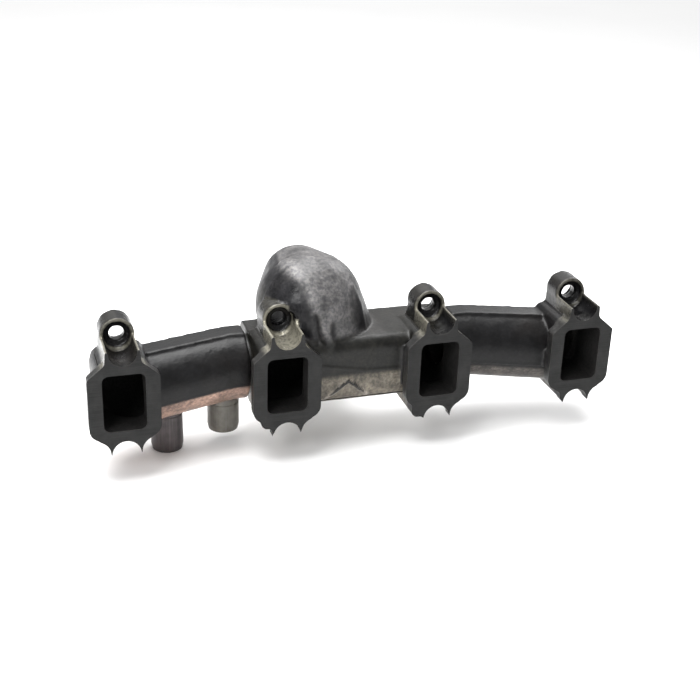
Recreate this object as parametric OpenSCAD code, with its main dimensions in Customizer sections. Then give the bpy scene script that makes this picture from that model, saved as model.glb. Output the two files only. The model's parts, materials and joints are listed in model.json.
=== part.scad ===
// Exhaust manifold for one bank of a V8 engine.
// Three iron castings joined by two slip joints: a centre section that carries ports 2 and 3,
// the collecting box and the outlet hood, and two end sections that carry ports 1 and 4.
// Origin: on the plane of the port faces, midway between ports 2 and 3, at port-centre height.
// +X runs along the row of ports, +Y points away from the cylinder head, +Z is up.

/* [Ports] */
// Distance from one port centre to the next
port_pitch = 120; // [112:1:128]
// Width of a port opening
port_w = 31; // [27:0.5:33]
// Height of a port opening
port_h = 44.4; // [38:0.2:46]
// Corner radius of a port opening
port_corner = 4.5; // [3:0.5:8]
// Thickness of a port flange
flange_t = 10; // [8:0.5:12]
// Half width of a port flange
flange_half_w = 26; // [24:0.5:28]

/* [Bolt lugs] */
// Radius of the hole for the upper bolt
bolt_hole_r = 5.5; // [5:0.1:6]
// Height of the upper bolt above the port centre
lug_z = 41.5; // [40:0.5:44]
// Outer radius of the barrel round the upper bolt
lug_r = 12.8; // [12:0.1:13]
// Length of the lug from the port face to its back
lug_len = 46; // [42:1:48]
// Radius of the half-round notch for the lower bolt
notch_r = 10.5; // [8:0.5:11]

/* [Castings] */
// Wall of the castings
wall = 5; // [4:0.5:6]
// Outer radius of an end section at its socket
log_r_joint = 27.6; // [27:0.1:29]
// Outer radius of an end section at its port
log_r_end = 28.5; // [27.5:0.1:29.5]
// Height of the raised strip on top of an end section
pad_rise = 1; // [0.6:0.1:1.5]

/* [Slip joints] */
// Bore radius of a socket
socket_r = 21.5; // [21:0.1:22]
// Cold gap between a socket's mouth and the centre section
cold_gap = 3.5; // [3:0.1:4.5]
// Length of a spigot
spigot_len = 24; // [22:1:26]
// Axial width of a sealing ring
ring_w = 3; // [2.5:0.1:3.2]

/* [Outlet] */
// Bore radius of the outlet
outlet_bore_r = 24; // [20:0.5:25]
// Half side of the square outlet flange
outlet_half = 34; // [33:0.5:35]
// Distance of each stud from the outlet's middle lines
stud_offset = 25; // [24.5:0.1:25.5]
// Radius of a stud
stud_r = 4; // [4:0.5:5]

/* [Stub tubes] */
// Outer radius of a stub tube
stub_r = 12.3; // [11:0.1:13]
// Wall of a stub tube
stub_wall = 2; // [1.5:0.1:2.5]

/* [Hidden] */
$fn = 64;

eps = 1;                                  // how far a cut runs past a face
cast_colour = [0.2, 0.2, 0.2];
ring_colour = [0.45, 0.45, 0.47];
tube_colour = [0.4, 0.36, 0.35];
stud_colour = [0.6, 0.58, 0.5];

// Heights on a port flange
flange_top_z = 31;
chamfer_z = 20;
corner_z = -19.5;
corner_r = 9.5;
tip_z = -41.5;
flange_top_half = 13;
flank_r = 11;
flank_x = 22.3;
flank_z = -40.2;
notch_z = -41.3;
prong_root = 18.5;
notch_len = 28;
port_reach = 30;                          // how far the ports of the centre section run in
end_port_reach = 38;

// Neck behind a port flange
neck_half_w = 19.5;
neck_top_z = 29;
neck_bottom_z = -30;
neck_corner = 6;
neck_outer_corner = 17;
neck_floor_z = -42;
plan_half_w = 21.4;
plan_round_y = 38;
neck_run = 11;
neck_back_top_z = 10;
neck_back_low_z = -20;
foot_run = 10;
foot_z = -28;

// Fork block behind each flange: how far it reaches towards port 1, and its underside
block_2 = [20, -34.5];
block_3 = [20.5, -39];
block_4 = [14, -40.5];
block_1 = [11.5, -36];
block_half = 11.5;
block_depth = 38;
block_top_z = -20;
block_chamfer = 3;
block_step = 4;
step_low_z = -31;
step_high_z = -28;

// Trough in front of the upper bolt
trough_r = 10.2;
trough_z = 39.2;
trough_cut = 8;
lug_foot_z = 24;
lug_wall_half_w = 12.3;
lug_wall_top_z = 41;
barrel_y = 27;
pocket_r = 9.8;
pocket_depth = 3;
head_r = 8.2;
counterbore_y = 39;

// Collecting box of the centre section
box_half_x = port_pitch / 2 + neck_half_w;
box_front_y = 12;
box_back_y = 76;
box_top_z = 26;
box_bottom_z = -30;
box_top_corner = 10;
box_bottom_corner = 18;

// Slip joint axis, and the axis of an end section beyond it
joint_y = 46.5;
joint_z = 0.6;
mouth_x = box_half_x + cold_gap;
straight_x = 96;
log_end_x = 1.5 * port_pitch - 10;
log_end_y = 38;
log_end_z = -6.8;
socket_depth = spigot_len + 2;
pad_half_w = 9;
pad_lift = 1;                             // the strip rises from the log towards the port, in degrees
fit_gap = 0.4;
spigot_r = socket_r - fit_gap;
spigot_bore_r = 16.2;
ring_clearance = 0.05;
groove_r = 18.7;
ring_inner_r = groove_r + 0.2;
ring_split = 1;
ring_first = 8;
ring_step = 5.5;

// Hood: a dome that leans towards port 1 and turns back and down to the outlet
hood_base = [-18, 56, box_top_z];
hood_base_r = 38.5;
hood_root = [-18, 47, -8];
hood_root_r = 28;
dome = [-28.7, 57, 39.5];
dome_r = 41.7;
dome_facets = 40;
crown = [-31, 82, 50];
crown_r = 28;
elbow = [-22, 84, 38];
elbow_r = 33;
passage_root = [-18, 48, 5];
passage_root_r = 24;
passage_dome = [-18.5, 60, 47];
passage_dome_r = 27;
passage_elbow = [-21.5, 83, 41];
passage_elbow_r = 24;
groove_end_y = 130;
outlet_pos = [-16, 108, 10];
outlet_tilt = -135;
outlet_tube_r = 30;
outlet_flange_t = 12;
outlet_corner = 10;
outlet_bore_len = 16;
// A stud's tap end is thinner than the part that stands proud, and meets it just above the face
stud_tap_r = stud_r - 0.4;
stud_shoulder = 0.5;
stud_proud = 26;
stud_chamfer = 1;
// Recess round each stud at the outlet face
stud_recess = 1;
stud_relief = 0.3;
rib_top = [-24, 30, 44];
rib_tip = [-24, 15, 13];
rib_top_r = 15;
rib_tip_r = 4;

// Stub tubes: [x, lower end z, shoulder z, top z]; the middle one is blind
stub_front = [-143.5, -63.6, -34.2, -20];
stub_middle = [-99.6, -51.8, -29.2, -22.4];
stub_press_r = stub_r - 0.4;
stub_lead = 4;
stub_lead_in = 0.8;
stub_y = 45;
stub_boss_r = 16;

function port_x(i) = (i - 2.5) * port_pitch;

// Extrude a drawing in X-Z along +Y from y0
module along_y(y0, len) {
    translate([0, y0 + len, 0]) rotate([90, 0, 0]) linear_extrude(len) children();
}

// Extrude a drawing in Y-Z along +X from x0
module along_x(x0, len) {
    translate([x0, 0, 0]) rotate([90, 0, 90]) linear_extrude(len) children();
}

// Round bar along +Y
module bar_y(y0, y1, r, z = 0) {
    translate([0, y1, z]) rotate([90, 0, 0]) cylinder(h = y1 - y0, r = r);
}

// Round bar between two points, as a cone when the radii differ
module bar(from, to, r1, r2) {
    d = to - from;
    translate(from) rotate([0, acos(d[2] / norm(d)), atan2(d[1], d[0])])
        cylinder(h = norm(d), r1 = r1, r2 = r2);
}

// Rectangle with round corners between two opposite corners
module round_rect(low, high, r) {
    translate([low[0] + r, low[1]]) square([high[0] - low[0] - 2 * r, high[1] - low[1]]);
    translate([low[0], low[1] + r]) square([high[0] - low[0], high[1] - low[1] - 2 * r]);
    for (x = [low[0] + r, high[0] - r], z = [low[1] + r, high[1] - r]) translate([x, z]) circle(r);
}

module port_opening() {
    round_rect([-port_w / 2, -port_h / 2], [port_w / 2, port_h / 2], port_corner);
}

// Outline of a port flange, with its forked lower end
module flange_outline() {
    corner_x = flange_half_w - corner_r;
    difference() {
        union() {
            polygon([
                [-flange_half_w, corner_z], [-flange_half_w, chamfer_z], [-flange_top_half, flange_top_z],
                [flange_top_half, flange_top_z], [flange_half_w, chamfer_z], [flange_half_w, corner_z]
            ]);
            for (side = [-1, 1]) translate([side * corner_x, corner_z]) circle(corner_r);
            translate([-corner_x, corner_z - corner_r]) square([2 * corner_x, 2 * corner_r]);
            translate([-prong_root, tip_z]) square([2 * prong_root, corner_z - tip_z]);
        }
        for (side = [-1, 1]) translate([side * flank_x, flank_z]) circle(flank_r);
        translate([0, notch_z]) circle(notch_r);
    }
}

// Neck behind a port flange, seen along the bolt
module neck_outline() {
    round_rect([-neck_half_w, neck_bottom_z], [neck_half_w, neck_top_z], neck_corner);
}

// Neck of an end port, whose upper outer edge is rounder
module end_neck_outline() {
    x = neck_half_w - neck_outer_corner;
    z = neck_top_z - neck_outer_corner;
    difference() {
        neck_outline();
        translate([x, z]) difference() {
            square(neck_outer_corner + eps);
            circle(neck_outer_corner);
        }
    }
}

module block_outline(block) {
    polygon([
        [-block[0], block_top_z], [-block[0], block[1] + block_chamfer], [block_chamfer - block[0], block[1]],
        [block_half, block[1]], [block_half, step_low_z], [block_half + block_step, step_high_z],
        [block_half + block_step, block_top_z]
    ]);
}

// Side view of the neck: level over the bolts, then falling into the log
module neck_side() {
    polygon([
        [0, neck_floor_z], [0, neck_top_z], [lug_len, neck_top_z], [lug_len + neck_run, neck_back_top_z],
        [lug_len + neck_run, neck_back_low_z], [block_depth + foot_run, foot_z], [block_depth, neck_floor_z]
    ]);
}

// Port branch without its holes; children draw the neck's outline
module branch_solid(block) {
    along_y(0, flange_t) flange_outline();
    intersection() {
        along_y(0, lug_len + neck_run + eps) {
            children();
            block_outline(block);
        }
        along_x(-plan_half_w - eps, 2 * plan_half_w + 2 * eps) neck_side();
        translate([0, 0, neck_floor_z - eps]) linear_extrude(neck_top_z - neck_floor_z + 2 * eps) {
            translate([-plan_half_w, 0]) square([2 * plan_half_w, plan_round_y]);
            translate([0, plan_round_y]) circle(plan_half_w);
        }
    }
    along_y(0, lug_len) polygon([
        [-flange_top_half, lug_foot_z], [-flange_top_half, flange_top_z], [-lug_wall_half_w, lug_wall_top_z],
        [lug_wall_half_w, lug_wall_top_z], [flange_top_half, flange_top_z], [flange_top_half, lug_foot_z]
    ]);
    bar_y(barrel_y, lug_len, lug_r, lug_z);
}

// Holes of a port branch: the upper bolt's trough and hole, the lower bolt's notch, the gas passage.
// spanner_y is how far back the room for the bolt head and spanner runs.
module branch_holes(passage_len, spanner_y = lug_len + eps) {
    along_y(-eps, barrel_y + eps) {
        translate([0, trough_z]) circle(trough_r);
        translate([-trough_r, trough_z]) square([2 * trough_r, trough_cut]);
    }
    bar_y(barrel_y - eps, barrel_y + pocket_depth, pocket_r, lug_z);
    bar_y(barrel_y, lug_len, bolt_hole_r, lug_z);
    bar_y(counterbore_y, spanner_y, head_r, lug_z);
    bar_y(-eps, notch_len, notch_r, notch_z);
    along_y(-eps, passage_len + eps) port_opening();
}

// ---- Centre section ----

module box_outline(inset) {
    r1 = box_top_corner - inset / 2;
    r2 = box_bottom_corner - inset / 2;
    y0 = box_front_y + inset;
    y1 = box_back_y - inset;
    z0 = box_bottom_z + inset;
    z1 = box_top_z - inset;
    for (y = [y0 + r1, y1 - r1]) translate([y, z1 - r1]) circle(r1);
    for (y = [y0 + r2, y1 - r2]) translate([y, z0 + r2]) circle(r2);
    translate([y0, z0 + r2]) square([y1 - y0, z1 - z0 - r1 - r2]);
    translate([y0 + r1, z1 - r1 - eps]) square([y1 - y0 - 2 * r1, r1 + eps]);
    translate([y0 + r2, z0]) square([y1 - y0 - 2 * r2, r2 + eps]);
}

module outlet_place() {
    translate(outlet_pos) rotate([outlet_tilt, 0, 0]) children();
}

module stud_pattern() {
    outlet_place() for (x = [-1, 1], y = [-1, 1]) translate([x * stud_offset, y * stud_offset, 0])
        children();
}

// Thin disc used as the end of a hull
module disc(r, z = 0) {
    translate([0, 0, z]) cylinder(h = 0.5, r = r, $fn = 32);
}

module hood_solid() {
    hull() {
        translate(hood_root) disc(hood_root_r);
        translate(hood_base) disc(hood_base_r);
    }
    hull() {
        translate(hood_base) disc(hood_base_r);
        translate(dome) sphere(dome_r, $fn = dome_facets);
    }
    hull() {
        translate(dome) sphere(dome_r, $fn = dome_facets);
        translate(crown) sphere(crown_r, $fn = 32);
        translate(elbow) sphere(elbow_r, $fn = 32);
    }
    hull() {
        translate(elbow) sphere(elbow_r, $fn = 32);
        outlet_place() disc(outlet_tube_r, -outlet_flange_t);
    }
    outlet_place() translate([0, 0, -outlet_flange_t]) linear_extrude(outlet_flange_t)
        round_rect([-outlet_half, -outlet_half], [outlet_half, outlet_half], outlet_corner);
    bar(rib_tip, rib_top, rib_tip_r, rib_top_r);
}

// The gas passage keeps to the far side of the hood, clear of the spanner groove behind lug 2
module hood_passage() {
    hull() {
        translate(passage_root) disc(passage_root_r);
        translate(passage_dome) sphere(passage_dome_r, $fn = 24);
    }
    hull() {
        translate(passage_dome) sphere(passage_dome_r, $fn = 24);
        translate(passage_elbow) sphere(passage_elbow_r, $fn = 24);
    }
    hull() {
        translate(passage_elbow) sphere(passage_elbow_r, $fn = 24);
        outlet_place() disc(outlet_bore_r - 0.5, -outlet_bore_len);
    }
    outlet_place() translate([0, 0, -outlet_bore_len]) cylinder(h = outlet_bore_len + eps, r = outlet_bore_r);
}

// Spigot with its ring grooves; side is -1 at the front joint and 1 at the rear joint
module spigot(side) {
    translate([side * box_half_x, joint_y, joint_z]) rotate([0, side * 90, 0]) difference() {
        translate([0, 0, -wall]) cylinder(h = spigot_len + wall, r = spigot_r);
        for (i = [0:2]) translate([0, 0, ring_first + i * ring_step - ring_clearance]) difference() {
            cylinder(h = ring_w + 2 * ring_clearance, r = spigot_r + eps);
            translate([0, 0, -eps]) cylinder(h = ring_w + 2 * eps + 1, r = groove_r);
        }
    }
}

module centre_section() {
    color(cast_colour) difference() {
        union() {
            along_x(-box_half_x, 2 * box_half_x) box_outline(0);
            translate([port_x(2), 0, 0]) branch_solid(block_2) neck_outline();
            translate([port_x(3), 0, 0]) branch_solid(block_3) neck_outline();
            for (side = [-1, 1]) spigot(side);
            hood_solid();
        }
        along_x(wall - box_half_x, 2 * (box_half_x - wall)) box_outline(wall);
        translate([port_x(2), 0, 0]) branch_holes(port_reach, groove_end_y);
        translate([port_x(3), 0, 0]) branch_holes(port_reach);
        translate([-box_half_x - spigot_len - eps, joint_y, joint_z]) rotate([0, 90, 0])
            cylinder(h = 2 * (box_half_x + spigot_len + eps), r = spigot_bore_r);
        hood_passage();
        stud_pattern() {
            translate([0, 0, -outlet_flange_t - eps])
                cylinder(h = outlet_flange_t + 2 * eps, r = stud_tap_r);
            translate([0, 0, -stud_recess]) cylinder(h = stud_recess + eps, r = stud_r + stud_relief);
        }
    }
}

// ---- End sections, drawn on the +X side ----

module end_axis_cone(r1, r2, from_x) {
    bar([from_x, joint_y, joint_z], [log_end_x, log_end_y, log_end_z], r1, r2);
}

module end_solid(block) {
    translate([mouth_x, joint_y, joint_z]) rotate([0, 90, 0])
        cylinder(h = straight_x - mouth_x + 3, r = log_r_joint);
    end_axis_cone(log_r_joint - 0.1, log_r_end, straight_x);
    translate([log_end_x, log_end_y, log_end_z]) sphere(log_r_end - 0.2);
    translate([port_x(4), 0, 0]) branch_solid(block) end_neck_outline();
    end_pad();
}

// Raised strip along the top, level over the socket and then falling with the log
module end_pad() {
    run = [log_end_x - straight_x, log_end_y - joint_y, log_end_z - joint_z];
    fall = atan2(-run[2], norm([run[0], run[1]])) - pad_lift;
    pad_top = log_r_joint + pad_rise / 2;
    translate([mouth_x, joint_y - pad_half_w, joint_z])
        cube([straight_x - mouth_x + 1, 2 * pad_half_w, pad_top]);
    translate([straight_x, joint_y, joint_z]) rotate([0, 0, atan2(run[1], run[0])]) rotate([0, fall, 0])
        translate([-1.5, -pad_half_w, 0]) cube([norm(run) - 6, 2 * pad_half_w, pad_top]);
}

module end_holes() {
    translate([mouth_x - eps, joint_y, joint_z]) rotate([0, 90, 0])
        cylinder(h = socket_depth + eps, r = socket_r);
    end_axis_cone(socket_r - 1, log_r_end - wall, straight_x);
    translate([log_end_x, log_end_y, log_end_z]) sphere(log_r_end - wall - 0.2);
    translate([port_x(4), 0, 0]) branch_holes(end_port_reach);
}

module end_casting(block) {
    difference() {
        end_solid(block);
        end_holes();
    }
}

module stub_bore(stub, run_out) {
    translate([stub[0], stub_y, stub[1]]) cylinder(h = stub[3] - stub[1] + run_out, r = stub_press_r);
}

// Thick spot inside the log round each stub tube
module stub_bosses() {
    intersection() {
        mirror([1, 0, 0]) end_axis_cone(log_r_joint - 0.5, log_r_end - 0.5, straight_x);
        for (stub = [stub_front, stub_middle]) translate([stub[0], stub_y, stub[1]])
            cylinder(h = stub[3] - stub[1], r = stub_boss_r);
    }
}

module front_section() {
    color(cast_colour) difference() {
        union() {
            mirror([1, 0, 0]) end_casting(block_1);
            stub_bosses();
        }
        stub_bore(stub_front, eps);
        stub_bore(stub_middle, 0);
        translate([-mouth_x - socket_depth, joint_y, joint_z]) rotate([0, 90, 0])
            cylinder(h = socket_depth + eps, r = socket_r);
    }
}

module rear_section() {
    color(cast_colour) end_casting(block_4);
}

// ---- Small pieces ----

// Split sealing ring; i counts outwards from the centre section
module ring(side, i) {
    color(ring_colour) translate([side * box_half_x, joint_y, joint_z]) rotate([0, side * 90, 0])
        translate([0, 0, ring_first + i * ring_step]) difference() {
            cylinder(h = ring_w, r = socket_r - ring_clearance);
            translate([0, 0, -eps]) cylinder(h = ring_w + 2 * eps, r = ring_inner_r);
            rotate([0, 0, 90 * i + 20]) translate([ring_inner_r - eps, -ring_split / 2, -eps])
                cube([socket_r - ring_inner_r + 2 * eps, ring_split, ring_w + 2 * eps]);
        }
}

module stub_tube(stub) {
    len = stub[3] - stub[1];
    shoulder = stub[2] - stub[1];
    color(tube_colour) translate([stub[0], stub_y, stub[1]]) rotate_extrude() polygon([
        [stub_r - stub_wall, 0], [stub_r - stub_lead_in, 0], [stub_r, stub_lead], [stub_r, shoulder],
        [stub_press_r, shoulder], [stub_press_r, len], [stub_r - stub_wall, len]
    ]);
}

module outlet_stud() {
    tap_end = stud_chamfer - outlet_flange_t;
    translate([0, 0, tap_end]) cylinder(h = stud_shoulder - tap_end, r = stud_tap_r);
    translate([0, 0, stud_shoulder]) cylinder(h = stud_proud - stud_chamfer - stud_shoulder, r = stud_r);
    translate([0, 0, stud_proud - stud_chamfer])
        cylinder(h = stud_chamfer, r1 = stud_r, r2 = stud_r - stud_chamfer);
}

module outlet_studs() {
    color(stud_colour) stud_pattern() outlet_stud();
}

centre_section();
front_section();
rear_section();
ring(-1, 0);  // front_ring_inner
ring(-1, 1);  // front_ring_middle
ring(-1, 2);  // front_ring_outer
ring(1, 0);  // rear_ring_inner
ring(1, 1);  // rear_ring_middle
ring(1, 2);  // rear_ring_outer
stub_tube(stub_front);  // front_stub_tube
stub_tube(stub_middle);  // middle_stub_tube
outlet_studs();
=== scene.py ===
"""Exhaust manifold: cast skins, machined faces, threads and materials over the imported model."""
import json
import math

import bmesh
import bpy
import numpy as np
from mathutils import Matrix, Vector, noise


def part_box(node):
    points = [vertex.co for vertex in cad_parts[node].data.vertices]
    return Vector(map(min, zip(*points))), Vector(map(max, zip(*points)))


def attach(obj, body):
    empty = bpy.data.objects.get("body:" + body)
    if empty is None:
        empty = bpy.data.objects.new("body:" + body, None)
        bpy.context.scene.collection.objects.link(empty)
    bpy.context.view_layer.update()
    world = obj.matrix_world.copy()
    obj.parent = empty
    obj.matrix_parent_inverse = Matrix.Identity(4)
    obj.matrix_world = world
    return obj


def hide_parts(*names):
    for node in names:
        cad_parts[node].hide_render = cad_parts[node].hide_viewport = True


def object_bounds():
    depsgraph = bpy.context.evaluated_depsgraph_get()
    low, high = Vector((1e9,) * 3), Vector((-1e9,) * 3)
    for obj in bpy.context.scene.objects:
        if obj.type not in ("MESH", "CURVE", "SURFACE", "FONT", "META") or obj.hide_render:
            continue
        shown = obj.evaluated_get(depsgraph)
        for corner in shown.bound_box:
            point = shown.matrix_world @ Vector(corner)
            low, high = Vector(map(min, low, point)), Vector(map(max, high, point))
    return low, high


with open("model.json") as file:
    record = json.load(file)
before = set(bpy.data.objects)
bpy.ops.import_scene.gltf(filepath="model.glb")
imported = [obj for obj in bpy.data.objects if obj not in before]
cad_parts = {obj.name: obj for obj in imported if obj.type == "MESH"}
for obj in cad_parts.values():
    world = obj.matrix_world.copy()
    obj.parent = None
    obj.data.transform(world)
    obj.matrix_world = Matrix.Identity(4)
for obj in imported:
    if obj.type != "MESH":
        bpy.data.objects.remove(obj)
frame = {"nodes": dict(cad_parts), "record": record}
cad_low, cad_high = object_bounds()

MM = 0.001

# The record's mounts give the ports, the outlet and the studs their places, in millimetres
MOUNTS = {m["name"]: m for m in frame["record"]["mounts"]}


def mount_at(name):
    return Vector(MOUNTS[name]["pos_m"]) / MM


PORT_X = [mount_at(f"port_face_{i}").x for i in (1, 2, 3, 4)]
OUTLET = mount_at("outlet_face")
OUTLET_AXIS = Vector(MOUNTS["outlet_face"]["axis"]).normalized()
LUG_Z = mount_at("upper_bolts_inner").z

# Sizes in millimetres
VOXEL = 1.15
SMOOTH_ROUNDS = 5
SPARE = 4.0            # how far a machined face is run out before it is cut back flat
FACE_TOLERANCE = 0.05
PORT_HALF_W = 15.5
PORT_HALF_H = 22.2
BARREL_R = 12.8
BARREL_Y = 27.0
JOINT_Y = 46.5
JOINT_Z = 0.6
LOG_BEND_X = 96.0
LOG_END = (170.0, 38.0, -6.8)
SOCKET_R = 21.5
SOCKET_END_X = 109.0
BOX_LOW = (-74.8, 16.7, -25.3)
BOX_HIGH = (74.8, 71.3, 21.3)
SPIGOT_BORE_R = 16.2
SPIGOT_END_X = 103.5
HOOD_PASSAGE = ((-18, 48, 5, 24), (-18.5, 60, 47, 27), (-21.5, 83, 41, 24))   # x, y, z and radius
HOOD_RIDGE = ((-50, 75), (-44, 73), (-39, 69), (-35, 60), (-32, 46), (-28, 31), (-25, 22))   # x and z
HOOD_CREASE = ((-1.5, 61), (5, 46), (8, 28))
HOOD_FLUTES = (((-35, 46), (-31, 24)), ((-21, 38), (-19, 22)))
BOX_PARTING = ((-38, 7), (-28, 6), (4, 0), (38, -1))
BOX_RIBS = ((-28, -21), (-9, -7), (6, -20))
BOX_START_Y = 11.0
BOX_FRONT_DEPTH = 22.0
BOX_FRONT_HALF_W = 40.0
HOOD_FRONT_Y = 60.0
FLUTE_DEPTH = 2.4
FLUTE_HALF_W = 2.7
LOG_PARTING = (0.55, 0.9)      # height and half width
LOG_PARTING_DROP = 7.0
SEAM_X = 79.0                  # where the end sections start
NECK_HALF_W = 27.0
NECK_FRONT_Y = 12.0
LUG_BACK_Y = 47.0
LUG_MARGIN = 0.8
# strength of worn metal and painted highlights on each lug
LUG_WEAR_AND_GLINT = (0.5, 0.9, 0.5, 0.25)   # one for each port
TUBE_BEVEL = 0.4
STUD_OFFSET = 25.0
STUD_R = 3.98           # a hair under the CAD, so that the crests stay inside it
STUD_TAP_R = 3.6
STUD_SHOULDER = 0.5
STUD_FRONT = -11.0
STUD_LEN = 37.0
STUD_CHAMFER = 1.0
THREAD_PITCH = 1.25
THREAD_DEPTH = 0.62

# Base colours, linear
LOG_TINT = (0.0035, 0.0035, 0.0040)
# painted floor reflection: lighter brownish undersides of the two end logs
UNDERSIDE_REFLECTION_TINT = (0.300, 0.200, 0.160)
REAR_UNDERSIDE_REFLECTION_TINT = (0.075, 0.068, 0.062)
# painted highlight along the box's ribs
RIB_HIGHLIGHT_TINT = (0.30, 0.275, 0.24)
BOX_TINT = (0.0085, 0.0084, 0.0072)
BOX_LOW_TINT = (0.134, 0.121, 0.098)
HOOD_TINT = (0.082, 0.081, 0.083)
HOOD_RIDGE_HIGHLIGHT_TINT = (0.180, 0.178, 0.180)
HOOD_FLANK_SHADE_TINT = (0.012, 0.012, 0.0135)
NECK_TINT = (0.016, 0.016, 0.016)
LUG_TINT = (0.0045, 0.0045, 0.0050)


# ---- Materials ----

class Net:
    """A material's node tree, with short calls to add and join nodes."""

    def __init__(self, name, **constants):
        self.material = bpy.data.materials.new(name)
        self.material.use_nodes = True
        self.tree = self.material.node_tree
        self.tree.nodes.clear()
        out = self.tree.nodes.new("ShaderNodeOutputMaterial")
        self.shader = self.add("ShaderNodeBsdfPrincipled", **constants)
        self.tree.links.new(self.shader.outputs["BSDF"], out.inputs["Surface"])
        self.place = self.add("ShaderNodeTexCoord").outputs["Object"]

    def add(self, kind, **values):
        node = self.tree.nodes.new(kind)
        for key, value in values.items():
            node.inputs[key.replace("_", " ")].default_value = value
        return node

    def link(self, source, target):
        self.tree.links.new(source, target)

    def grain(self, scale, detail=3.0, rough=0.55, stretch=None):
        """Noise with `scale` features to the metre; stretch squeezes it along an axis."""
        node = self.add("ShaderNodeTexNoise", Scale=scale, Detail=detail, Roughness=rough)
        place = self.place
        if stretch:
            mapping = self.add("ShaderNodeMapping")
            mapping.inputs["Scale"].default_value = stretch
            self.link(place, mapping.inputs["Vector"])
            place = mapping.outputs["Vector"]
        self.link(place, node.inputs["Vector"])
        return node.outputs["Fac"]

    def span(self, source, low, high, to_low=0.0, to_high=1.0):
        node = self.add("ShaderNodeMapRange", From_Min=low, From_Max=high, To_Min=to_low, To_Max=to_high)
        self.link(source, node.inputs["Value"])
        return node.outputs["Result"]

    def math(self, operation, a, b):
        node = self.add("ShaderNodeMath")
        node.operation = operation
        for socket, value in zip(node.inputs, (a, b)):
            if isinstance(value, float):
                socket.default_value = value
            else:
                self.link(value, socket)
        return node.outputs[0]

    def mix(self, share, a, b, blend="MIX"):
        node = self.add("ShaderNodeMix")
        node.data_type = "RGBA"
        node.blend_type = blend
        node.clamp_factor = True
        for socket, value in ((node.inputs[0], share), (node.inputs[6], a), (node.inputs[7], b)):
            if isinstance(value, float):
                socket.default_value = value
            elif isinstance(value, tuple):
                socket.default_value = (*value, 1.0)
            else:
                self.link(value, socket)
        return node.outputs[2]

    def paint(self, attribute):
        node = self.add("ShaderNodeAttribute")
        node.attribute_name = attribute
        return node

    def colour(self, source):
        self.link(source, self.shader.inputs["Base Color"])

    def roughness(self, source):
        self.link(source, self.shader.inputs["Roughness"])

    def metallic(self, source):
        self.link(source, self.shader.inputs["Metallic"])

    def bump(self, *layers):
        """Each layer is (height, depth in millimetres)."""
        normal = None
        for height, depth in layers:
            node = self.add("ShaderNodeBump", Strength=1.0, Distance=depth * MM)
            self.link(height, node.inputs["Height"])
            if normal:
                self.link(normal, node.inputs["Normal"])
            normal = node.outputs["Normal"]
        self.link(normal, self.shader.inputs["Normal"])


def cast_iron():
    """As-cast skin: sand grain, mottling, worn edges, patches worn to bright metal with painted highlights
    on the lugs, and oily lugs.
    """
    net = Net("cast_iron", Specular_IOR_Level=0.26)
    sand = net.grain(1300.0, 4.0, 0.65)
    pits = net.grain(420.0, 3.0)
    mottle = net.grain(95.0, 4.0, 0.6)
    broad = net.grain(22.0, 2.0)
    tint = net.paint("tint").outputs["Color"]
    bare_and_glint = net.paint("bare_and_glint").outputs["Fac"]
    gloss = net.paint("gloss").outputs["Fac"]
    edge = net.span(net.add("ShaderNodeNewGeometry").outputs["Pointiness"], 0.535, 0.62)
    shade = net.mix(net.span(mottle, 0.35, 0.68), (0.58, 0.58, 0.58), (1.5, 1.48, 1.46))
    base = net.mix(1.0, tint, shade, "MULTIPLY")
    speck = net.mix(net.span(pits, 0.40, 0.62), (0.72, 0.72, 0.74), (1.28, 1.26, 1.22))
    base = net.mix(1.0, base, speck, "MULTIPLY")
    base = net.mix(net.span(broad, 0.5, 0.75, 0.0, 0.12), base, (0.050, 0.040, 0.034))
    worn = net.math("MULTIPLY", edge, net.span(mottle, 0.40, 0.60, 0.25, 0.85))
    base = net.mix(worn, base, (0.20, 0.195, 0.18))
    # lugs worn to bright metal, with painted highlights: lighter and more metallic
    bright = net.math("MULTIPLY", bare_and_glint, net.span(pits, 0.36, 0.56, 0.45, 1.0))
    base = net.mix(bright, base, (0.52, 0.49, 0.39))
    net.colour(base)
    shine = net.span(bright, 0.0, 1.0, 0.0, 0.85)
    net.metallic(net.math("MAXIMUM", shine, net.span(worn, 0.0, 1.0, 0.0, 0.5)))
    rubbed = net.span(bright, 0.0, 1.0, 0.0, 0.14)
    rough = net.math("SUBTRACT", net.span(mottle, 0.3, 0.7, 0.30, 0.44), rubbed)
    net.roughness(net.math("SUBTRACT", rough, net.span(gloss, 0.0, 1.0, 0.0, 0.16)))
    net.bump((sand, 0.10), (pits, 0.16), (mottle, 0.22))
    return net.material


def machined_iron():
    """Milled port face: fine tool lines, with faint gasket stains."""
    net = Net("machined_iron", Specular_IOR_Level=0.17)
    lines = net.grain(520.0, 2.0, 0.5, stretch=(0.05, 1.0, 6.0))
    stain = net.grain(70.0, 4.0, 0.6)
    fine = net.grain(900.0, 2.0)
    base = net.mix(net.span(stain, 0.35, 0.7), (0.010, 0.010, 0.010), (0.023, 0.023, 0.0225))
    base = net.mix(net.span(lines, 0.38, 0.62, 0.0, 0.55), base, (0.033, 0.033, 0.0325))
    net.colour(base)
    net.roughness(net.span(fine, 0.3, 0.7, 0.50, 0.64))
    net.bump((lines, 0.025), (fine, 0.02))
    return net.material


def soot():
    """Matt black deposit inside the passages."""
    net = Net("soot", Specular_IOR_Level=0.06)
    dust = net.grain(600.0, 3.0)
    net.colour(net.mix(net.span(dust, 0.3, 0.7), (0.013, 0.0128, 0.0125), (0.024, 0.023, 0.0225)))
    net.roughness(net.span(dust, 0.3, 0.7, 0.85, 1.0))
    net.bump((dust, 0.12))
    return net.material


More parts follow.
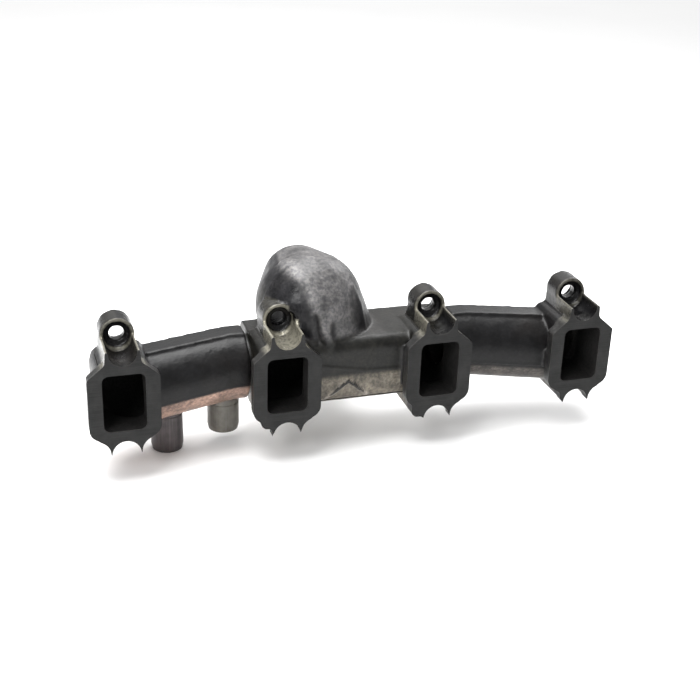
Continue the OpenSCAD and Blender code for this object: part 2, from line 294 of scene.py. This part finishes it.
def tube_steel(name, cool, warm):
    """Heat-tinted drawn tube with faint lines along it."""
    net = Net(name, Specular_IOR_Level=0.5)
    blotch = net.grain(85.0, 4.0, 0.6)
    draw = net.grain(260.0, 2.0, 0.5, stretch=(3.0, 3.0, 0.10))
    base = net.mix(net.span(blotch, 0.35, 0.68), cool, warm)
    base = net.mix(net.span(draw, 0.4, 0.7, 0.0, 0.35), base, (0.16, 0.15, 0.145))
    net.colour(base)
    net.metallic(net.span(blotch, 0.3, 0.7, 0.25, 0.40))
    net.roughness(net.span(draw, 0.3, 0.7, 0.38, 0.55))
    net.bump((draw, 0.03), (blotch, 0.06))
    return net.material


def bright_steel(name, low, high):
    """Ground or plated steel with fine marks and a faint haze."""
    net = Net(name, Specular_IOR_Level=0.5, Metallic=0.9)
    marks = net.grain(900.0, 2.0)
    haze = net.grain(150.0, 3.0)
    net.colour(net.mix(net.span(haze, 0.3, 0.7), low, high))
    net.roughness(net.span(marks, 0.3, 0.7, 0.28, 0.42))
    net.bump((marks, 0.012))
    return net.material


# ---- Cast skins ----

def region_near_outlet(centre):
    return centre.y > 80 * MM and (centre - OUTLET * MM).length < 62 * MM


def region_front(centre):
    return centre.y < 12 * MM


# Machined planes: a point and the outward normal in millimetres, and the region that the cut may touch
PORT_PLANE = (Vector((0, 0, 0)), Vector((0, -1, 0)), region_front)
OUTLET_PLANE = (OUTLET, OUTLET_AXIS, region_near_outlet)


def run_out(bm, plane):
    """Move a machined face outwards, so that smoothing rounds its rim beyond the place of the cut."""
    point, normal, region = plane
    for vert in bm.verts:
        if abs((vert.co - point * MM).dot(normal)) < FACE_TOLERANCE * MM and region(vert.co):
            vert.co += normal * SPARE * MM


def cut_back(bm, plane):
    """Cut the skin flat at a machined plane and close it with a flat face in the second material."""
    point, normal, region = plane
    faces = [f for f in bm.faces if region(f.calc_center_median())]
    edges = {e for f in faces for e in f.edges}
    verts = {v for f in faces for v in f.verts}
    made = bmesh.ops.bisect_plane(
        bm, geom=[*verts, *edges, *faces], plane_co=point * MM, plane_no=normal, clear_outer=True)
    rim_glint = [g for g in made["geom_cut"] if isinstance(g, bmesh.types.BMEdge)]
    filled = bmesh.ops.triangle_fill(bm, use_beauty=True, use_dissolve=False, edges=rim_glint, normal=normal)
    for face in (g for g in filled["geom"] if isinstance(g, bmesh.types.BMFace)):
        face.material_index = 1
        face.smooth = False
        if face.normal.dot(normal) < 0:
            face.normal_flip()
    for edge in rim_glint:
        if edge.is_valid:
            edge.smooth = False


def near_segment(points, start, end):
    """Distance of 2-D points from a segment."""
    start, end = np.array(start, float), np.array(end, float)
    run = end - start
    share = np.clip(((points - start) @ run) / (run @ run), 0, 1)
    return np.linalg.norm(points - (start + share[:, None] * run), axis=1)


def near_path(points, path):
    """Distance of 2-D points from a line through several points."""
    return np.min([near_segment(points, start, end) for start, end in zip(path, path[1:])], axis=0)


def smooth_step(values, low, high):
    t = np.clip((values - low) / (high - low), 0, 1)
    return t * t * (3 - 2 * t)


def log_axis(x):
    """Height and depth of the log's axis at a distance along it."""
    share = np.clip((np.abs(x) - LOG_BEND_X) / (LOG_END[0] - LOG_BEND_X), 0, None)
    return JOINT_Y + share * (LOG_END[1] - JOINT_Y), JOINT_Z + share * (LOG_END[2] - JOINT_Z)


def on_hood(points):
    x, y, z = points.T
    return smooth_step(z, 24, 31) * smooth_step(-np.abs(x + 22), -47, -41) * (y > 8)


def line(distance, size):
    """Height at a distance from the middle of a rounded line; size is its height and half width."""
    height, width = size
    return height * np.exp(-(distance / width) ** 2)


def flute_share(points):
    """How deep in one of the two flutes beside the hood's foot each point is."""
    flat = points[:, [0, 2]]
    return np.max([line(near_segment(flat, *flute), (1.0, FLUTE_HALF_W)) for flute in HOOD_FLUTES], axis=0)


def sculpt(points, normals):
    """Casting detail: parting lines, the box's ribs, the hood's ridge and flutes, and an uneven skin."""
    x, y, z = points.T
    axis_y, axis_z = log_axis(x)
    offset = np.zeros(len(points))
    seam = smooth_step(np.abs(x), SEAM_X + 1, SEAM_X + 5)
    log = seam * (1 - smooth_step(np.abs(np.abs(x) - PORT_X[3]), 24, 20))
    front = smooth_step(-normals[:, 1], 0.25, 0.7)
    offset += line(z - axis_z + LOG_PARTING_DROP, LOG_PARTING) * front * log * (y < axis_y)
    box = (np.abs(x) < BOX_FRONT_HALF_W) * (y < BOX_FRONT_DEPTH) * front
    flat = points[:, [0, 2]]
    offset += line(near_path(flat, BOX_PARTING), (0.8, 1.1)) * box
    offset += line(near_path(flat, BOX_RIBS), (2.2, 1.6)) * box
    hood = on_hood(points) * (y < HOOD_FRONT_Y) * smooth_step(-normals[:, 1], -0.35, 0.1)
    offset += line(near_path(flat, HOOD_RIDGE), (1.7, 4.5)) * hood
    offset += line(near_path(flat, HOOD_CREASE), (0.9, 2.0)) * hood
    offset -= FLUTE_DEPTH * flute_share(points) * hood
    waves = np.array([noise.noise(Vector(p) * 0.11) for p in points])
    ripple = np.array([noise.noise(Vector(p) * 0.42 + Vector((7, 3, 1))) for p in points])
    offset += (0.16 * waves + 0.07 * ripple - 0.12) * (y > 1.5)
    return points + normals * offset[:, None]


def hold_inside(points, node):
    low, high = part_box(node)
    return np.clip(points, np.array(low) / MM, np.array(high) / MM)


def true_socket(points, side):
    """Bring the socket's wall back to its exact radius."""
    along = points[:, 0] * side
    ray = points[:, 1:] - (JOINT_Y, JOINT_Z)
    radius = np.linalg.norm(ray, axis=1)
    hit = (along < SOCKET_END_X - 1) & (np.abs(radius - SOCKET_R) < 0.9)
    points[hit, 1:] = (JOINT_Y, JOINT_Z) + ray[hit] / radius[hit, None] * SOCKET_R
    return points


def on_tube_wall(centre, normal, start, end, start_r, end_r):
    """True for a face that looks inwards near the wall of a straight or tapered tube."""
    start, end = Vector(start), Vector(end)
    run = end - start
    share = min(max((centre - start).dot(run) / run.length_squared, 0), 1)
    ray = centre - start - share * run
    return ray.length < start_r + share * (end_r - start_r) + 1 and ray.dot(normal) < -0.2 * ray.length


def inside_passages(centre, normal):
    """True for faces on the walls of the gas passages."""
    x, y, z = centre
    spigots = [(side * SPIGOT_END_X, JOINT_Y, JOINT_Z) for side in (-1, 1)]
    if abs(x) < SPIGOT_END_X and on_tube_wall(centre, normal, *spigots, SPIGOT_BORE_R, SPIGOT_BORE_R):
        return True
    if abs(x + 20) < 30 and y > 30 and z > 10:
        stops = [*HOOD_PASSAGE, (*OUTLET, HOOD_PASSAGE[-1][3])]
        for a, b in zip(stops, stops[1:]):
            if on_tube_wall(centre, normal, a[:3], b[:3], a[3], b[3]):
                return True
    if 0.4 < y < 40 and abs(z) < PORT_HALF_H + 0.5:
        if min(abs(x - port) for port in PORT_X) < PORT_HALF_W + 0.5:
            return True
    if all(a < v < b for a, v, b in zip(BOX_LOW, centre, BOX_HIGH)):
        return True
    axis_y, axis_z = log_axis(np.array(x))
    ray = Vector((0, y - axis_y, z - axis_z))
    return abs(x) > SOCKET_END_X - 1 and ray.length < 25 and ray.dot(normal) < -0.2 * ray.length


def tints(points):
    """Base colour of the skin at each point, with painted shade, painted highlights and painted floor
    reflections.
    """
    x, y, z = points.T
    axis_z = log_axis(x)[1]
    colour = np.tile(LOG_TINT, (len(points), 1))

    def blend(share, tint):
        nonlocal colour
        colour = colour + (np.array(tint) - colour) * share[:, None]

    logs = smooth_step(np.abs(x), SEAM_X, SEAM_X + 4)
    # painted floor reflection on the log undersides, below the parting line
    blend(logs * smooth_step(axis_z - z, 7, 9.5) * smooth_step(-x, 0, 60), UNDERSIDE_REFLECTION_TINT)
    blend(logs * smooth_step(axis_z - z, 9, 13) * smooth_step(x, 0, 60), REAR_UNDERSIDE_REFLECTION_TINT)
    blend((1 - logs) * (y > BOX_START_Y), BOX_TINT)
    blend((1 - logs) * (y > BOX_START_Y) * smooth_step(-z, 1, 6), BOX_LOW_TINT)
    flat = points[:, [0, 2]]
    box = (np.abs(x) < BOX_FRONT_HALF_W) * (y < BOX_FRONT_DEPTH) * (y > BOX_START_Y)
    # painted highlight along the box's diagonal ribs
    blend(line(near_path(flat, BOX_RIBS), (1.0, 1.7)) * box, RIB_HIGHLIGHT_TINT)
    blend(on_hood(points), HOOD_TINT)
    # painted shade on the hood's flanks: left of the ridge and along the right edge
    ridge_z, ridge_x = np.array(HOOD_RIDGE)[::-1, 1], np.array(HOOD_RIDGE)[::-1, 0]
    beside = np.interp(z, ridge_z, ridge_x) - x
    blend(on_hood(points) * smooth_step(beside, 2, 8), HOOD_FLANK_SHADE_TINT)
    blend(on_hood(points) * smooth_step(x, -6, 5), HOOD_FLANK_SHADE_TINT)
    # painted highlight along the hood's ridge
    ridge_highlight = line(near_path(flat, HOOD_RIDGE), (1.0, 4.0)) * (y < HOOD_FRONT_Y)
    blend(0.75 * ridge_highlight * on_hood(points) * smooth_step(z, 26, 42), HOOD_RIDGE_HIGHLIGHT_TINT)
    # painted shade in the flutes beside the hood's foot
    blend(0.95 * flute_share(points) * on_hood(points) * (y < HOOD_FRONT_Y), LOG_TINT)
    nearest_port = np.min(np.abs(x[:, None] - np.array(PORT_X)), axis=1)
    blend((nearest_port < NECK_HALF_W) * (y < NECK_FRONT_Y), NECK_TINT)
    barrel = np.hypot(nearest_port, z - LUG_Z) < BARREL_R + LUG_MARGIN
    walls = (nearest_port < BARREL_R + LUG_MARGIN) & (z < LUG_Z) & (y < BARREL_Y + 1)
    blend((barrel | walls) * smooth_step(z, 28, 33) * (y < LUG_BACK_Y), LUG_TINT)
    return colour


def bare_metal_and_glints(points):
    """How far the lugs are worn to bright metal, with painted highlights: the rims and fronts of the bolt
    lugs, partly rubbed bright by bolt heads and partly painted reflections, with a painted highlight on
    the upper left of each barrel.
    """
    x, y, z = points.T
    port = np.argmin(np.abs(x[:, None] - np.array(PORT_X)), axis=1)
    nearest = np.array(PORT_X)[port]
    across = np.abs(x - nearest)
    from_axis = np.hypot(x - nearest, z - LUG_Z)
    strength = np.array(LUG_WEAR_AND_GLINT)[port]
    seat = 0.5 * np.exp(-((y - BARREL_Y) / 1.2) ** 2) * (from_axis > 9.6) * (from_axis < BARREL_R)
    # thin bright rims of the troughs: partly wear, partly painted reflection
    rim_glint = np.exp(-((across - 11.8) / 0.9) ** 2) * (z > 26) * (z < LUG_Z + 2) * (y < BARREL_Y)
    # painted highlight on the upper left of each barrel's crown
    crown_glint = smooth_step(from_axis, BARREL_R - 1.4, BARREL_R - 0.4) * (y < LUG_BACK_Y - 1)
    crown_glint = crown_glint * smooth_step(z, LUG_Z + 3, LUG_Z + 9)
    crown_glint = crown_glint * (from_axis < BARREL_R + 1) * (x < nearest + 1)
    shoulder = np.exp(-((z - 30.5) / 2.2) ** 2) * smooth_step(across, 12, 15) * (y < 12) * (y > 0.2)
    # the second lug's trough: worn metal with a painted reflection
    trough = 0.38 * (port == 1) * (across < 11) * (z > 27) * (z < LUG_Z) * (y < BARREL_Y)
    return strength * np.clip(0.9 * seat + 0.8 * rim_glint + 0.05 * crown_glint + 0.7 * shoulder + trough, 0, 1)


def lug_gloss(points):
    """How glossy the skin is: the bolt lugs are wiped with oil."""
    x, y, z = points.T
    nearest_port = np.min(np.abs(x[:, None] - np.array(PORT_X)), axis=1)
    return (nearest_port < 15) * smooth_step(z, 26, 31) * (y < LUG_BACK_Y)


def cast_skin(node, body, planes, materials, socket_side=0):
    """A casting's visible skin: the CAD solid with cast fillets, sand texture and crisp machined faces."""
    bm = bmesh.new()
    bm.from_mesh(frame["nodes"][node].data)
    bmesh.ops.remove_doubles(bm, verts=bm.verts, dist=0.001 * MM)
    for plane in planes:
        run_out(bm, plane)
    mesh = bpy.data.meshes.new(f"{node}_skin")
    bm.to_mesh(mesh)
    bm.free()
    piece = bpy.data.objects.new(f"{node}_skin", mesh)
    bpy.context.scene.collection.objects.link(piece)
    remesh = piece.modifiers.new("remesh", "REMESH")
    remesh.mode = "VOXEL"
    remesh.voxel_size = VOXEL * MM
    fillet = piece.modifiers.new("fillet", "SMOOTH")
    fillet.factor = 0.5
    fillet.iterations = SMOOTH_ROUNDS
    grid = bpy.context.evaluated_depsgraph_get()
    dense = bpy.data.meshes.new_from_object(piece.evaluated_get(grid))
    piece.modifiers.clear()
    piece.data = dense
    # before the faces choose theirs, because clearing the list sets every face back to the first
    dense.materials.clear()
    for material in materials:
        dense.materials.append(material)

    points = np.empty(len(dense.vertices) * 3)
    dense.vertices.foreach_get("co", points)
    points = points.reshape(-1, 3) / MM
    normals = np.array([v.normal for v in dense.vertices])
    points = sculpt(points, normals)
    if socket_side:
        points = true_socket(points, socket_side)
    dense.vertices.foreach_set("co", (points * MM).ravel())

    bm = bmesh.new()
    bm.from_mesh(dense)
    for face in bm.faces:
        face.smooth = True
        face.material_index = 2 if inside_passages(face.calc_center_median() / MM, face.normal) else 0
    for plane in planes:
        cut_back(bm, plane)
    bm.to_mesh(dense)
    bm.free()
    points = np.empty(len(dense.vertices) * 3)
    dense.vertices.foreach_get("co", points)
    points = hold_inside(points.reshape(-1, 3) / MM, node)
    dense.vertices.foreach_set("co", (points * MM).ravel())
    dense.update()

    tint = dense.color_attributes.new("tint", "FLOAT_COLOR", "POINT")
    tint.data.foreach_set("color", np.c_[tints(points), np.ones(len(points))].ravel())
    bare_and_glint = dense.attributes.new("bare_and_glint", "FLOAT", "POINT")
    bare_and_glint.data.foreach_set("value", bare_metal_and_glints(points))
    gloss = dense.attributes.new("gloss", "FLOAT", "POINT")
    gloss.data.foreach_set("value", lug_gloss(points))
    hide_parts(node)
    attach(piece, body)
    return piece


# ---- Small pieces ----

def threaded_studs(material):
    """Four studs with rolled M8 threads, on the places of the CAD studs."""
    turn = OUTLET_AXIS.to_track_quat("Z", "Y").to_matrix().to_4x4()
    bm = bmesh.new()
    around, rows = 28, int(STUD_LEN / THREAD_PITCH * 7)
    for across in (-1, 1):
        for up in (-1, 1):
            side = Vector((1, 0, 0)) * across * STUD_OFFSET
            rise = OUTLET_AXIS.cross(Vector((1, 0, 0))) * up * STUD_OFFSET
            place = Matrix.Translation((OUTLET + side + rise) * MM) @ turn
            rings = []
            for row in range(rows + 1):
                along = STUD_LEN * row / rows
                end = min(along, STUD_LEN - along, STUD_CHAMFER)
                ring = []
                for step in range(around):
                    angle = math.tau * step / around
                    phase = (along / THREAD_PITCH - step / around) % 1.0
                    depth = THREAD_DEPTH * (1 - abs(2 * phase - 1))
                    crest = STUD_R if along + STUD_FRONT > STUD_SHOULDER else STUD_TAP_R
                    radius = min(crest - depth, crest - STUD_CHAMFER + end) * MM
                    flat = Vector((radius * math.cos(angle), radius * math.sin(angle)))
                    spot = Vector((*flat, (STUD_FRONT + along) * MM))
                    ring.append(bm.verts.new(place @ spot))
                rings.append(ring)
            for low, high in zip(rings, rings[1:]):
                for k in range(around):
                    bm.faces.new((low[k], low[(k + 1) % around], high[(k + 1) % around], high[k]))
            bm.faces.new(list(reversed(rings[0])))
            bm.faces.new(rings[-1])
    mesh = bpy.data.meshes.new("threaded_studs")
    bm.to_mesh(mesh)
    bm.free()
    mesh.materials.append(material)
    piece = bpy.data.objects.new("threaded_studs", mesh)
    bpy.context.scene.collection.objects.link(piece)
    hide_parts("outlet_studs")
    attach(piece, "centre")
    return piece


def finish_node(name, material, bevel=0.0):
    """Give a CAD node its material, and soften its edges."""
    node = frame["nodes"][name]
    node.data.materials.clear()
    node.data.materials.append(material)
    if bevel:
        soft = node.modifiers.new("soft_edges", "BEVEL")
        soft.width = bevel * MM
        soft.segments = 2
        soft.limit_method = "ANGLE"


# ---- Studio ----

def floor():
    size, height = 9.0, cad_low.z - 0.2 * MM
    bm = bmesh.new()
    corners = ((-1, -1), (1, -1), (1, 1), (-1, 1))
    bm.faces.new([bm.verts.new((x * size, y * size, height)) for x, y in corners])
    mesh = bpy.data.meshes.new("floor")
    bm.to_mesh(mesh)
    bm.free()
    net = Net("floor_paint", Roughness=0.9, Specular_IOR_Level=0.1)
    net.colour(net.mix(net.span(net.grain(3.0), 0.3, 0.7), (0.87, 0.87, 0.87), (0.89, 0.89, 0.89)))
    mesh.materials.append(net.material)
    piece = bpy.data.objects.new("floor", mesh)
    bpy.context.scene.collection.objects.link(piece)


def soft_box(name, place, aim, width, height, power):
    light = bpy.data.lights.new(name, "AREA")
    light.shape = "RECTANGLE"
    light.size, light.size_y, light.energy = width, height, power
    lamp = bpy.data.objects.new(name, light)
    lamp.location = place
    lamp.rotation_euler = (Vector(aim) - Vector(place)).to_track_quat("-Z", "Y").to_euler()
    bpy.context.scene.collection.objects.link(lamp)


def studio():
    world = bpy.data.worlds.new("studio")
    world.use_nodes = True
    world.node_tree.nodes["Background"].inputs["Color"].default_value = (1, 1, 1, 1)
    world.node_tree.nodes["Background"].inputs["Strength"].default_value = 0.55
    bpy.context.scene.world = world
    bpy.context.scene.view_settings.view_transform = "Standard"
    centre = (cad_low + cad_high) / 2
    soft_box("top", centre + Vector((-0.15, 0.15, 1.1)), centre, 1.3, 0.7, 30)
    soft_box("key", centre + Vector((-0.9, -0.9, 0.9)), centre, 0.5, 0.5, 8)
    soft_box("backdrop", Vector((1.0, 3.4, 2.5)), Vector((1.0, 3.4, 0)), 5.0, 3.5, 60)
    soft_box("rim_glint", centre + Vector((0.9, 0.7, 0.7)), centre, 0.5, 0.8, 6)


def camera():
    """Solved view: yaw, pitch down and roll in degrees, and the place in millimetres."""
    yaw, pitch, roll = (math.radians(a) for a in (18.24, 24.74, 2.10))
    ahead = Vector((math.sin(yaw) * math.cos(pitch), math.cos(yaw) * math.cos(pitch), -math.sin(pitch)))
    level = Vector((math.cos(yaw), -math.sin(yaw), 0))
    upright = level.cross(ahead)
    right = math.cos(roll) * level + math.sin(roll) * upright
    up = math.cos(roll) * upright - math.sin(roll) * level
    data = bpy.data.cameras.new("camera")
    data.sensor_width = 36.0
    data.lens = 64.08
    view = bpy.data.objects.new("camera", data)
    turn = Matrix((right, up, -ahead)).transposed().to_4x4()
    view.matrix_world = Matrix.Translation(Vector((-275.7, -798.1, 411.4)) * MM) @ turn
    bpy.context.scene.collection.objects.link(view)
    bpy.context.scene.camera = view


camera()
studio()
floor()
skins = [cast_iron(), machined_iron(), soot()]
cast_skin("centre_section", "centre", [PORT_PLANE, OUTLET_PLANE], skins)
cast_skin("front_section", "front", [PORT_PLANE], skins, socket_side=-1)
cast_skin("rear_section", "rear", [PORT_PLANE], skins, socket_side=1)
threaded_studs(bright_steel("plated_steel", (0.40, 0.36, 0.25), (0.55, 0.51, 0.40)))
front_steel = tube_steel("front_tube_steel", (0.040, 0.032, 0.034), (0.082, 0.068, 0.070))
middle_steel = tube_steel("middle_tube_steel", (0.080, 0.075, 0.062), (0.155, 0.146, 0.126))
finish_node("front_stub_tube", front_steel, TUBE_BEVEL)
finish_node("middle_stub_tube", middle_steel, TUBE_BEVEL)
ring_steel = bright_steel("ring_steel", (0.38, 0.38, 0.40), (0.50, 0.50, 0.52))
for end in ("front", "rear"):
    for spot in ("inner", "middle", "outer"):
        finish_node(f"{end}_ring_{spot}", ring_steel)
